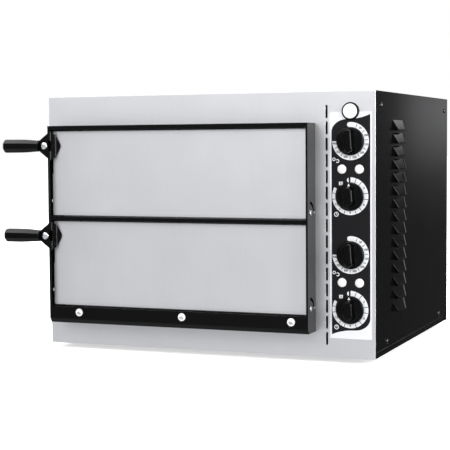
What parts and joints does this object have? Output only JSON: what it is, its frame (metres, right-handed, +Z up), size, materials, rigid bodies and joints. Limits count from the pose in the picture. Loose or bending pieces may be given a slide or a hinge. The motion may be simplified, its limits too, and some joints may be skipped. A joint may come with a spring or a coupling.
{
  "type": "countertop pizza oven",
  "caption": "Electric countertop pizza oven with stacked baking decks, drop-down doors with side grips, a side control column and a louvred side cover.",
  "frame": {"origin": "centre of the oven's whole footprint, on the counter plane under the feet", "axes": "+X to the right seen from the front, -Y out of the front, +Z up"},
  "size_m": [0.637, 0.566, 0.423],
  "materials": {
    "satin_steel": "satin, fine vertical grain",
    "black_paint": "semi-gloss powder coat",
    "galvanised_steel": "galvanised sheet",
    "aluminised_steel": "aluminised sheet, heat-tinted",
    "refractory": "cordierite baking stone",
    "element_sheath": "oxidised alloy sheath",
    "mineral_wool": "mineral wool",
    "black_plastic": "moulded phenolic",
    "zinc_steel": "bright zinc",
    "white_plastic": "translucent white moulding",
    "label_film": "printed polycarbonate film",
    "rubber": "moulded rubber",
    "grey_plastic": "moulded polyamide",
    "brass": "plain",
    "cable_sleeve": "braided sleeve"
  },
  "bodies": {
    "cabinet": {"front_panel": "satin_steel", "side_cover_left": "black_paint", "side_cover_right": "black_paint", "top_cover": "black_paint", "back_panel": "black_paint", "base_tray": "black_paint", "door_surround": "black_paint", "bulkhead": "galvanised_steel", "support_beams": "galvanised_steel", "chamber_lower": "aluminised_steel", "chamber_upper": "aluminised_steel", "baking_stone_lower": "refractory", "baking_stone_upper": "refractory", "heating_elements_lower": "element_sheath", "heating_elements_upper": "element_sheath", "insulation_layers": "mineral_wool", "insulation_walls": "mineral_wool", "power_switch": "black_plastic", "case_screws": "zinc_steel", "pivot_screws": "zinc_steel", "surround_screws": "zinc_steel", "thermostat_lower": "zinc_steel", "timer_lower": "zinc_steel", "thermostat_upper": "zinc_steel", "timer_upper": "zinc_steel", "surround_washers": "white_plastic", "pilot_lamps": "white_plastic", "control_label": "label_film", "rubber_feet": "rubber", "cable_gland": "grey_plastic", "terminal_block": "grey_plastic", "bonding_stud": "brass", "wiring_loom": "cable_sleeve"},
    "door_lower": {"door_skin_lower": "satin_steel", "door_inner_pan_lower": "galvanised_steel", "door_insulation_lower": "mineral_wool", "door_hinges_lower": "galvanised_steel", "door_rivets_lower": "zinc_steel", "handle_bracket_lower": "black_paint", "handle_grip_lower": "black_plastic", "handle_screw_lower": "zinc_steel"},
    "thermostat_dial_lower": {"thermostat_knob_lower": "black_plastic", "thermostat_spindle_lower": "zinc_steel"},
    "timer_dial_lower": {"timer_knob_lower": "black_plastic", "timer_spindle_lower": "zinc_steel"},
    "door_upper": {"door_skin_upper": "satin_steel", "door_inner_pan_upper": "galvanised_steel", "door_insulation_upper": "mineral_wool", "door_hinges_upper": "galvanised_steel", "door_rivets_upper": "zinc_steel", "handle_bracket_upper": "black_paint", "handle_grip_upper": "black_plastic", "handle_screw_upper": "zinc_steel"},
    "thermostat_dial_upper": {"thermostat_knob_upper": "black_plastic", "thermostat_spindle_upper": "zinc_steel"},
    "timer_dial_upper": {"timer_knob_upper": "black_plastic", "timer_spindle_upper": "zinc_steel"},
    "power_button": {"power_button_cap": "white_plastic"}
  },
  "joints": [
    {"name": "door_lower_hinge", "type": "hinge", "parent": "cabinet", "child": "door_lower", "pos_m": [-0.0125, -0.2555, 0.0866], "axis": [1, 0, 0], "range_deg": [0, 90]},
    {"name": "door_upper_hinge", "type": "hinge", "parent": "cabinet", "child": "door_upper", "pos_m": [-0.0125, -0.2555, 0.2356], "axis": [1, 0, 0], "range_deg": [0, 90]},
    {"name": "thermostat_lower_turn", "type": "hinge", "parent": "cabinet", "child": "thermostat_dial_lower", "pos_m": [0.2711, -0.24, 0.1698], "axis": [0, 1, 0], "range_deg": [0, 270]},
    {"name": "timer_lower_turn", "type": "hinge", "parent": "cabinet", "child": "timer_dial_lower", "pos_m": [0.2711, -0.24, 0.0848], "axis": [0, 1, 0], "range_deg": [0, 300]},
    {"name": "thermostat_upper_turn", "type": "hinge", "parent": "cabinet", "child": "thermostat_dial_upper", "pos_m": [0.2711, -0.24, 0.3457], "axis": [0, 1, 0], "range_deg": [0, 270]},
    {"name": "timer_upper_turn", "type": "hinge", "parent": "cabinet", "child": "timer_dial_upper", "pos_m": [0.2711, -0.24, 0.2607], "axis": [0, 1, 0], "range_deg": [0, 300]},
    {"name": "power_button_press", "type": "slide", "parent": "cabinet", "child": "power_button", "axis": [0, 1, 0], "range_m": [0, 0.0025], "stiffness_N_per_m": 400, "springref_m": -0.001}
  ]
}
